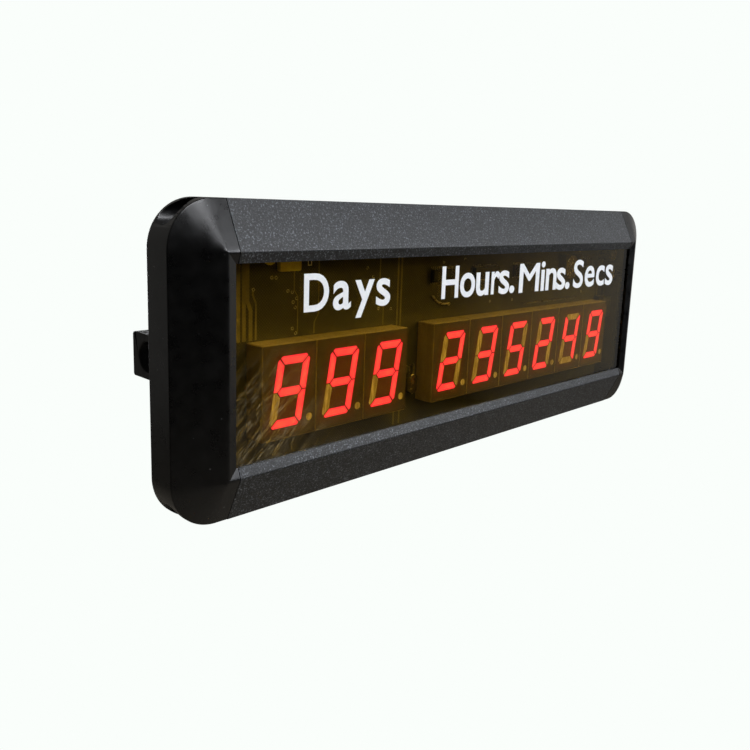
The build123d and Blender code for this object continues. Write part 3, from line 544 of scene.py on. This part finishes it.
def floor_paint():
    """A painted studio floor: white to the eye, warm and pale right under the timer, dimmer
    outwards, and dim in reflections."""
    material = bpy.data.materials.new("pale_studio_floor")
    material.use_nodes = True
    tree = material.node_tree
    path = add_node(tree, "ShaderNodeLightPath")
    seen = add_node(tree, "ShaderNodeEmission", {"Color": linear("#fafefb"), "Strength": 1.0})
    place = add_node(tree, "ShaderNodeTexCoord").outputs["Object"]
    away = add_node(tree, "ShaderNodeVectorMath", {0: place}, operation="LENGTH")
    near = add_node(tree, "ShaderNodeMapRange", {"Value": away.outputs["Value"], "From Min": FLOOR_FADE_START,
                                                 "From Max": FLOOR_FADE_END, "To Min": 1.0, "To Max": 0.0})
    dull = add_node(tree, "ShaderNodeMapRange", {"Value": path.outputs["Is Glossy Ray"],
                                                 "To Min": 1.0, "To Max": 0.3})
    share = add_node(tree, "ShaderNodeMath", {0: near, 1: dull}, operation="MULTIPLY")
    tone = add_node(tree, "ShaderNodeMix", {0: share, 6: linear("#080808"), 7: linear("#e8ddca")},
                    data_type="RGBA")
    paint = add_node(tree, "ShaderNodeBsdfDiffuse", {"Color": tone.outputs[2]})
    both = add_node(tree, "ShaderNodeMixShader", {0: path.outputs["Is Camera Ray"], 1: paint, 2: seen})
    feed(tree.nodes["Material Output"], {"Surface": both})
    return material


def pale_room():
    """A room that is white to the eye and lights the timer dimly: brighter to the right,
    above and behind."""
    world = bpy.data.worlds.new("pale_room")
    world.use_nodes = True
    tree = world.node_tree
    tree.nodes.clear()
    direction = add_node(tree, "ShaderNodeTexCoord").outputs["Generated"]
    parts = add_node(tree, "ShaderNodeSeparateXYZ", {0: direction})
    right = add_node(tree, "ShaderNodeMapRange", {"Value": parts.outputs["X"], "From Min": 0.76,
                                                  "From Max": 1.0, "To Min": 0.0, "To Max": 0.5})
    above = add_node(tree, "ShaderNodeMapRange", {"Value": parts.outputs["Z"], "From Min": 0.1,
                                                  "From Max": 1.0, "To Min": 0.008, "To Max": 0.12})
    behind = add_node(tree, "ShaderNodeMapRange", {"Value": parts.outputs["Y"], "From Min": 0.0,
                                                   "From Max": 1.0, "To Min": 0.0, "To Max": 0.18})
    glow = add_node(tree, "ShaderNodeMath", {0: right, 1: above}, operation="ADD")
    level = add_node(tree, "ShaderNodeMath", {0: glow, 1: behind}, operation="ADD")
    room = add_node(tree, "ShaderNodeBackground", {"Color": linear("#f7f4ee"), "Strength": level})
    seen = add_node(tree, "ShaderNodeBackground", {"Color": linear("#fafefb"), "Strength": 1.0})
    path = add_node(tree, "ShaderNodeLightPath")
    both = add_node(tree, "ShaderNodeMixShader", {0: path.outputs["Is Camera Ray"], 1: room, 2: seen})
    add_node(tree, "ShaderNodeOutputWorld", {"Surface": both})
    return world


def set_room():
    """The floor well below the timer, the room round it and the soft boxes."""
    bpy.context.scene.view_settings.view_transform = "Standard"
    bpy.ops.object.select_all(action="DESELECT")
    bpy.ops.mesh.primitive_circle_add(vertices=96, radius=FLOOR_RADIUS, fill_type="NGON",
                                      location=(0, 0, -FLOOR_DROP))
    floor = bpy.context.object
    floor.name = "floor"
    floor.data.materials.append(floor_paint())
    bpy.context.scene.world = pale_room()
    for soft_box in SOFT_BOXES:
        soft_light(*soft_box)


set_camera()
set_room()


# --- housing, caps and brackets ----------------------------------------------------------
def round_front_ridge(piece, radius):
    """Rounds the ridge between the outer slope and the window's bevel."""
    front = cad_bounds[0].y
    open_edges(piece, lambda a, b: max(abs(a.y - front), abs(b.y - front)) < IN_FRONT)
    bpy.ops.mesh.bevel(offset=radius, segments=3, affect="EDGES", clamp_overlap=False)
    bpy.ops.object.mode_set(mode="OBJECT")


def ring_corners(piece):
    """Cuts rings through a cap's corner cones, so that their shading stays true near the tip."""
    for depth in (0.35, 0.9, 1.8, 3.2, 5.2):
        open_faces(piece, lambda face: True)
        bpy.ops.mesh.bisect(plane_co=(0, cad_bounds[0].y + depth * MM, 0), plane_no=(0, 1, 0))
        bpy.ops.object.mode_set(mode="OBJECT")


def make_housing():
    """The profile and the two caps, with the front ridge rounded as painted aluminium and
    moulded plastic have it, and the brackets with all their edges rounded."""
    for node, radius, slot in (("housing_profile", 0.35, "powder_coated_profile"),
                               ("left_end_cap", 0.5, "black_cap_plastic"),
                               ("right_end_cap", 0.5, "black_cap_plastic")):
        piece = merged_copy(node, node + "_rounded")
        if node != "housing_profile":
            ring_corners(piece)
        round_front_ridge(piece, radius * MM)
        smooth(piece, 20)
        dress(piece, finishes[slot], replaces=[node])
    for node in ("left_bracket", "right_bracket"):
        piece = merged_copy(node, node + "_rounded")
        round_edges(piece, 0.4 * MM, 2, 40)
        smooth(piece, 40)
        dress(piece, finishes["bracket_plastic"], replaces=[node])


make_housing()


# --- legends --------------------------------------------------------------------------------
def legend(text, left, right, bottom, top):
    """One printed letter, drawn out to its width and height from a plain built-in face."""
    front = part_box("window_pane")[0].y
    bpy.ops.object.select_all(action="DESELECT")
    bpy.ops.object.text_add(location=(0, 0, 0))
    letter = bpy.context.object
    letter.data.body = text
    letter.data.size = 18.6 * MM
    letter.data.offset = 0 if text == "M" else 0.3 * MM
    letter.data.extrude = 0.05 * MM
    letter.data.resolution_u = 6
    bpy.ops.object.convert(target="MESH")
    if text == "M":
        embolden(letter, 0.5 * MM)
    low = Vector((min(v.co.x for v in letter.data.vertices), min(v.co.y for v in letter.data.vertices)))
    high = Vector((max(v.co.x for v in letter.data.vertices), max(v.co.y for v in letter.data.vertices)))
    wide, tall = (right - left) / (high.x - low.x), (top - bottom) / (high.y - low.y)
    letter.scale = (wide, tall, 1)
    letter.location = (left - low.x * wide, front - 0.055 * MM, bottom - low.y * tall)
    letter.rotation_euler = (math.pi / 2, 0, 0)
    letter.name = "legend_letter"
    close(letter)
    open_faces(letter, lambda face: True)
    bpy.ops.mesh.remove_doubles(threshold=SAME_POINT)
    bpy.ops.mesh.normals_make_consistent(inside=False)
    bpy.ops.object.mode_set(mode="OBJECT")
    return letter


def embolden(letter, amount):
    """Widens a letter's strokes sideways by joining a shifted copy to it."""
    open_faces(letter, lambda face: True)
    bpy.ops.mesh.remove_doubles(threshold=SAME_PLANE)
    bpy.ops.object.mode_set(mode="OBJECT")
    twin = shifted_copy(letter, (amount, 0, 0), "twin")
    take_only(letter)
    union = letter.modifiers.new("union", "BOOLEAN")
    union.operation = "UNION"
    union.object = twin
    bpy.ops.object.modifier_apply(modifier=union.name)
    bpy.data.objects.remove(twin)


def make_legends():
    """The unit words, letter by letter: left and right edge, foot and top in millimetres."""
    letters = (("D", -101.6, -90.2, 15.9, 29.2), ("a", -88.2, -79.5, 15.5, 26.0),
               ("y", -77.5, -67.6, 12.0, 25.9), ("s", -66.6, -59.0, 15.5, 26.0),
               ("H", -28.7, -17.9, 15.8, 29.2), ("o", -16.8, -6.6, 15.5, 26.0),
               ("u", -5.8, 3.2, 15.5, 25.8), ("r", 5.0, 11.2, 15.7, 25.9),
               ("s", 10.7, 18.6, 15.3, 26.0), (".", 18.9, 22.8, 15.4, 18.9),
               ("M", 26.4, 42.8, 15.1, 28.5), ("i", 44.3, 47.5, 15.0, 29.1),
               ("n", 48.6, 58.0, 15.0, 25.6), ("s", 58.2, 66.3, 14.6, 25.5),
               (".", 66.5, 70.6, 14.6, 18.2), ("S", 73.9, 83.4, 14.6, 28.9),
               ("e", 85.0, 94.8, 14.6, 25.5), ("c", 96.5, 105.2, 14.6, 25.4),
               ("s", 106.3, 114.3, 14.5, 25.5))
    words = [legend(text, *(size * MM for size in sizes)) for text, *sizes in letters]
    piece = joined(words, "printed_legends")
    dress(piece, finishes["white_print"], replaces=["unit_legends"])


make_legends()


# --- digits ------------------------------------------------------------------------------------
def store(piece, name, kind, value):
    """Stores one value for each corner point of a mesh."""
    layer = piece.data.attributes.new(name, kind, "POINT")
    for corner, item in zip(piece.data.vertices, layer.data):
        if kind == "FLOAT":
            item.value = value(corner)
        else:
            item.vector = value(corner)


def make_digits():
    """Nine modules: a pale case with a chamfered edge round its dark printed face."""
    first_low, first_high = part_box("digit_1_shell")
    shell = merged_copy("digit_1_shell", "digit_1_case")
    open_edges(shell, lambda a, b: all(
        min(abs(p.x - first_low.x), abs(p.x - first_high.x)) < SAME_PLANE
        or min(abs(p.z - first_low.z), abs(p.z - first_high.z)) < SAME_PLANE for p in (a, b)))
    bpy.ops.mesh.bevel(offset=0.3 * MM, segments=1, affect="EDGES")
    bpy.ops.object.mode_set(mode="OBJECT")
    for index in range(DIGITS):
        low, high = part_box(f"digit_{index + 1}_shell")
        shift = (low.x - first_low.x, 0, 0)
        piece = shell if index == 0 else shifted_copy(shell, shift, f"digit_{index + 1}_case")
        middle = (low + high) / 2
        store(piece, "from_middle", "FLOAT_VECTOR", lambda corner: corner.co - middle)
        dress(piece, finishes["module_plastic"], replaces=[f"digit_{index + 1}_shell"])
        piece.data.materials.append(face_print_and_painted_glow)
        for face in piece.data.polygons:
            front = abs(face.center.y - first_low.y) < IN_FRONT
            face.material_index = 1 if front else 0


def make_lit_bars():
    """Each lit bar with its front face inset, so that its middle can be the brightest."""
    for index in range(DIGITS):
        node = f"digit_{index + 1}_lit_bars"
        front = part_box(node)[0].y
        piece = merged_copy(node, node + "_inset")
        open_faces(piece, lambda face: face.center.y < front + IN_FRONT)
        bpy.ops.mesh.inset(thickness=0.85 * MM, depth=0, use_individual=True)
        bpy.ops.object.mode_set(mode="OBJECT")
        inner = {i for face in piece.data.polygons if face.select for i in face.vertices}
        store(piece, "core", "FLOAT", lambda corner: 1.0 if corner.index in inner else 0.0)
        dress(piece, finishes["lit_red"], replaces=[node])


make_digits()
make_lit_bars()


# --- main board ------------------------------------------------------------------------------------
def track(points, width):
    """A copper track: a flat strip drawn out from point to point along the board, in millimetres."""
    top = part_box("main_board")[0].y
    x, z = points[0]
    next_z = points[1][1]
    strip = box_piece("track", ((x - width / 2) * MM, top - 0.06 * MM, next_z * MM),
                      ((x + width / 2) * MM, top + 0.02 * MM, z * MM))
    low = next_z * MM
    for (x, z), (to_x, to_z) in zip(points[1:], points[2:]):
        open_faces(strip, lambda face: abs(face.center.z - low) < SAME_PLANE and face.normal.z < -0.5)
        bpy.ops.mesh.extrude_region_move(
            TRANSFORM_OT_translate={"value": ((to_x - x) * MM, 0, (to_z - z) * MM)})
        bpy.ops.object.mode_set(mode="OBJECT")
        low = to_z * MM
    round_edges(strip, 0.02 * MM, 1, 60)
    return strip


def ring(x, z, radius):
    """The tinned ring of a through hole, with the dark hole in its middle, in millimetres."""
    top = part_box("main_board")[0].y
    bpy.ops.object.select_all(action="DESELECT")
    bpy.ops.mesh.primitive_torus_add(location=(x * MM, top, z * MM), rotation=(math.pi / 2, 0, 0),
                                     major_segments=18, minor_segments=6,
                                     major_radius=radius * MM, minor_radius=0.13 * MM)
    circle = bpy.context.object
    circle.scale = (1, 1, 0.6)
    close(circle)
    return circle


def make_board_print():
    """Tracks, through holes and one square printed mark on the front of the board."""
    strips = [track([(-119.7, 36), (-119.7, 5.4)], 1.6),
              track([(-117.3, 36), (-117.3, 5.4)], 1.5),
              track([(-115.9, 36), (-115.9, 19.4), (-114.6, 15.9), (-114.6, 5.4)], 1.6),
              track([(-113.6, 23.0), (-113.6, 21.2), (-112.4, 18.4), (-112.4, 5.4)], 0.8),
              track([(-95.6, 30), (-95.6, 22), (-93.9, 19.6), (-93.9, 6)], 0.5),
              track([(-84.0, 36), (-84.0, 12.5), (-86.0, 9.5), (-86.0, 5.4)], 0.5),
              track([(-52.0, 36), (-52.0, 17.5), (-49.6, 14.0), (-49.6, 5.4)], 0.6),
              track([(-41.4, 40), (-41.4, -38)], 0.9),
              track([(-39.4, 40), (-39.4, 2.0), (-38.0, -1.0), (-38.0, -38)], 0.9),
              track([(121.4, 14), (121.4, 4), (119.8, 1), (119.8, -16)], 0.7)]
    copper = joined(strips, "copper_tracks")
    dress(copper, copper_tracks)
    places = [(-113.4, 23.1), (-105.6, 26.9), (-103.7, 26.8), (-98.4, 21.8), (-96.4, 21.3),
              (-94.4, 19.0), (-96.0, 17.7), (-95.0, 15.7), (-96.2, 8.1), (-94.7, 6.3),
              (-59.0, 28.6), (-55.7, 25.1), (-52.4, 12.2), (-48.6, 19.5), (-46.9, 23.6),
              (-45.2, 11.6), (-13.0, 29.5), (1.7, 30.4), (21.8, 10.2), (39.5, 9.9),
              (88.0, 33.0), (93.0, 33.0), (99.5, 32.0), (104.0, 10.2)]
    holes = joined([ring(x, z, 0.52) for x, z in places], "through_hole_rings")
    smooth(holes, 60)
    dress(holes, finishes["tinned_copper"])
    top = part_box("main_board")[0].y
    square = box_piece("square_mark", (-89.4 * MM, top - 0.05 * MM, 30.5 * MM),
                       (-87.5 * MM, top + 0.01 * MM, 32.9 * MM))
    open_faces(square, lambda face: face.normal.y < -0.9)
    bpy.ops.mesh.inset(thickness=0.42 * MM, depth=-0.055 * MM)
    bpy.ops.object.mode_set(mode="OBJECT")
    dress(square, finishes["white_print"])


def loop_lead(start, rise, depth):
    """A round lead that leaves a can, runs up and bends over into the board."""
    bpy.ops.object.select_all(action="DESELECT")
    bpy.ops.mesh.primitive_cylinder_add(vertices=12, radius=0.3 * MM, depth=rise,
                                        location=(start[0], start[1], start[2] + rise / 2))
    lead = bpy.context.object
    lead.name = "crystal_lead"
    close(lead)
    top = start[2] + rise
    bend = 0.7 * MM
    open_faces(lead, lambda face: face.normal.z > 0.9)
    bpy.ops.mesh.spin(steps=6, angle=math.pi / 2, center=(start[0], start[1] + bend, top), axis=(-1, 0, 0))
    bpy.ops.mesh.extrude_region_move(TRANSFORM_OT_translate={"value": (0, depth - bend, 0)})
    bpy.ops.mesh.select_all(action="SELECT")
    bpy.ops.mesh.remove_doubles(threshold=SAME_POINT)
    bpy.ops.mesh.normals_make_consistent(inside=False)
    bpy.ops.object.mode_set(mode="OBJECT")
    smooth(lead, 40)
    return lead


def make_leads():
    """The bent leads of the clock crystal, and one curved lead that ends in a solder bead."""
    low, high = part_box("clock_crystal")
    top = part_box("main_board")[0].y
    middle = (low + high) / 2
    depth = top - middle.y + 0.3 * MM
    leads = [loop_lead((middle.x + side * 1.25 * MM, middle.y, high.z - 0.5 * MM), 4.2 * MM, depth)
             for side in (-1, 1)]
    piece = joined(leads, "crystal_leads")
    dress(piece, finishes["tinned_copper"])
    # a pale lead, curved over the board, that ends in a bright solder bead
    bpy.ops.object.select_all(action="DESELECT")
    bpy.ops.mesh.primitive_torus_add(location=(-11.5 * MM, top - 0.45 * MM, 22.0 * MM),
                                     rotation=(math.pi / 2, 0, 0), major_segments=64, minor_segments=10,
                                     major_radius=10.7 * MM, minor_radius=0.5 * MM)
    wire = bpy.context.object
    wire.name = "curved_lead"
    close(wire)
    for normal, point in (((1, 0, 0), (-9.4 * MM, 0, 0)), ((0, 0, 1), (0, 0, 15.4 * MM))):
        open_faces(wire, lambda face: True)
        bpy.ops.mesh.bisect(plane_co=point, plane_no=normal, use_fill=True, clear_outer=True)
        bpy.ops.object.mode_set(mode="OBJECT")
    bpy.ops.object.select_all(action="DESELECT")
    bpy.ops.mesh.primitive_uv_sphere_add(segments=16, ring_count=10, radius=0.85 * MM,
                                         location=(-8.8 * MM, top - 0.3 * MM, 11.1 * MM))
    bead = bpy.context.object
    bead.scale = (1, 0.75, 1)
    close(bead)
    smooth(wire, 50)
    smooth(bead, 60)
    wire = joined([wire, bead], "curved_lead_and_bead")
    dress(wire, finishes["tinned_copper"])


def make_chip(low, high, legs, name):
    """A chip: a chamfered body between two rows of bent legs."""
    body = box_piece(name, (low.x, low.y, low.z + 1.1 * MM),
                     (high.x, high.y - 0.15 * MM, high.z - 1.1 * MM))
    round_edges(body, 0.18 * MM, 1, 60)
    notch = round_piece("notch", 0.55 * MM, low.y - 0.2 * MM, low.y + 0.25 * MM, "Y",
                        (low.x + 1.2 * MM, 0, low.z + 2.1 * MM), 20)
    cut(body, notch)
    feet = []
    for side, edge in ((-1, low.z), (1, high.z)):
        for leg in range(legs):
            x = low.x + (high.x - low.x) * (leg + 0.5) / legs
            inner = edge - side * 1.15 * MM
            last = inner + side * 0.35 * MM
            shoulder = box_piece("leg", (x - 0.2 * MM, high.y - 1.3 * MM, min(inner, last)),
                                 (x + 0.2 * MM, high.y - 1.1 * MM, max(inner, last)))
            open_faces(shoulder, lambda face: abs(face.center.z - last) < SAME_PLANE)
            for step in ((0, 1.1 * MM, side * 0.25 * MM), (0, 0, side * 0.5 * MM)):
                bpy.ops.mesh.extrude_region_move(TRANSFORM_OT_translate={"value": step})
            bpy.ops.object.mode_set(mode="OBJECT")
            feet.append(shoulder)
    return body, joined(feet, name + "_legs")


def cut(piece, tool):
    """Cuts one piece out of another."""
    take_only(piece)
    difference = piece.modifiers.new("cut", "BOOLEAN")
    difference.operation = "DIFFERENCE"
    difference.object = tool
    bpy.ops.object.modifier_apply(modifier=difference.name)
    bpy.data.objects.remove(tool)


def make_chips():
    """The controller, the two drivers and the regulator."""
    low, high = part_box("driver_chips")
    width = 15.4 * MM
    spans = [("controller_chip", *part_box("controller_chip"), 14),
             ("left_driver", low, Vector((low.x + width, high.y, high.z)), 12),
             ("right_driver", Vector((high.x - width, low.y, low.z)), high, 12),
             ("regulator", *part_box("voltage_regulator"), 3)]
    bodies, legs = zip(*[make_chip(a, b, count, name + "_body") for name, a, b, count in spans])
    dress(bodies[0], finishes["chip_epoxy"], replaces=["controller_chip"])
    drivers = joined(list(bodies[1:3]), "driver_bodies")
    dress(drivers, finishes["chip_epoxy"], replaces=["driver_chips"])
    dress(bodies[3], finishes["chip_epoxy"], replaces=["voltage_regulator"])
    feet = joined(list(legs), "chip_legs")
    dress(feet, finishes["tinned_copper"])


def make_cans():
    """The two smoothing capacitors: a groove under the shoulder, a bare scored top."""
    low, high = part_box("smoothing_capacitors")
    radius = (high.x - low.x) / 2
    cans = []
    for z in (low.z + radius, high.z - radius):
        centre = (low.x + radius, 0, z)
        can = round_piece("can", radius, low.y, high.y, "Y", centre, 40)
        open_faces(can, lambda face: face.normal.y < -0.9)
        bpy.ops.mesh.inset(thickness=0.45 * MM, depth=0.25 * MM)
        bpy.ops.mesh.inset(thickness=0.25 * MM, depth=-0.2 * MM)
        bpy.ops.object.mode_set(mode="OBJECT")
        for size in ((0.12, 1.8), (1.8, 0.12)):
            half = Vector((size[0] * MM, 0.12 * MM, size[1] * MM))
            middle = Vector((centre[0], low.y - 0.05 * MM, z))
            cut(can, box_piece("score", middle - half, middle + half))
        cans.append(can)
    piece = joined(cans, "smoothing_cans")
    smooth(piece, 35)
    dress(piece, finishes["capacitor_sleeve"], replaces=["smoothing_capacitors"])
    piece.data.materials.append(finishes["nickel_can"])
    for face in piece.data.polygons:
        near = min((Vector((face.center.x, face.center.z)) - Vector((low.x + radius, z))).length
                   for z in (low.z + radius, high.z - radius))
        face.material_index = 1 if face.center.y < low.y + 0.3 * MM and near < radius - 0.5 * MM else 0


make_board_print()
make_leads()
make_chips()
make_cans()


# --- small moulded and metal parts ------------------------------------------------------------------
def make_screws():
    """Pan-head screws: rounded edges, and a cross recess in every head."""
    for node, size in (("cap_screws", 1.9), ("bracket_screws", 1.6)):
        low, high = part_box(node)
        piece = merged_copy(node, node + "_with_recess")
        round_edges(piece, 0.3 * MM, 2, 50)
        if node == "cap_screws":
            heads = [Vector((x, (low.y + high.y) / 2, z)) for x in (low.x, high.x)
                     for z in (low.z + 3.2 * MM, high.z - 3.2 * MM)]
            halves = [Vector((1.3, 0.32, size)), Vector((1.3, size, 0.32))]
        else:
            heads = [Vector((x, high.y, z)) for x in (low.x + 2.75 * MM, high.x - 2.75 * MM)
                     for z in (low.z + 2.75 * MM, high.z - 2.75 * MM)]
            halves = [Vector((0.28, 1.1, size)), Vector((size, 1.1, 0.28))]
        for head in heads:
            for half in halves:
                cut(piece, box_piece("recess", head - half * MM, head + half * MM))
        smooth(piece, 35)
        dress(piece, finishes["zinc_plated_steel"], replaces=[node])


def make_rounded():
    """Small parts whose moulded or drawn edges are rounded."""
    for node, radius, body in (("film_capacitor", 0.5, HOUSING), ("ceramic_resonator", 0.6, HOUSING),
                               ("clock_crystal", 0.4, HOUSING), ("battery_holder", 0.3, HOUSING),
                               ("coin_cell", 0.25, HOUSING), ("header_pins", 0.12, HOUSING),
                               ("tactile_switches", 0.2, HOUSING), ("power_inlet", 0.3, HOUSING),
                               ("inlet_contact", 0.3, HOUSING), ("ribbon_header", 0.25, HOUSING),
                               ("power_switch_frame", 0.3, HOUSING), ("sounder", 0.3, HOUSING),
                               ("power_rocker", 0.35, "rocker_body"),
                               ("set_button", 0.25, "set_button_body"), ("up_button", 0.25, "up_button_body"),
                               ("down_button", 0.25, "down_button_body"),
                               ("set_plunger", 0.2, "set_button_body"), ("up_plunger", 0.2, "up_button_body"),
                               ("down_plunger", 0.2, "down_button_body"),
                               ("threaded_inserts", 0.15, HOUSING), ("infrared_receiver", 0.2, HOUSING)):
        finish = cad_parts[node].data.materials[0]
        piece = merged_copy(node, node + "_rounded")
        round_edges(piece, radius * MM, 2, 50)
        smooth(piece, 35)
        dress(piece, finish, body, [node])


def make_ribbon():
    """Grey ribbon cable: nine round conductors side by side in one web."""
    low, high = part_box("control_ribbon")
    radius = (high.y - low.y) / 2
    middle = (low.y + high.y) / 2
    count = 9
    pitch = (high.z - low.z - 2 * radius) / (count - 1)
    wires = [round_piece("wire", radius, low.x, high.x, "X", (0, middle, low.z + radius + i * pitch), 16)
             for i in range(count)]
    web = box_piece("web", (low.x, middle - 0.2 * MM, low.z + radius),
                    (high.x, middle + 0.2 * MM, high.z - radius))
    piece = joined(wires + [web], "ribbon_conductors")
    smooth(piece, 40)
    dress(piece, finishes["grey_ribbon"], replaces=["control_ribbon"])


make_screws()
make_rounded()
make_ribbon()
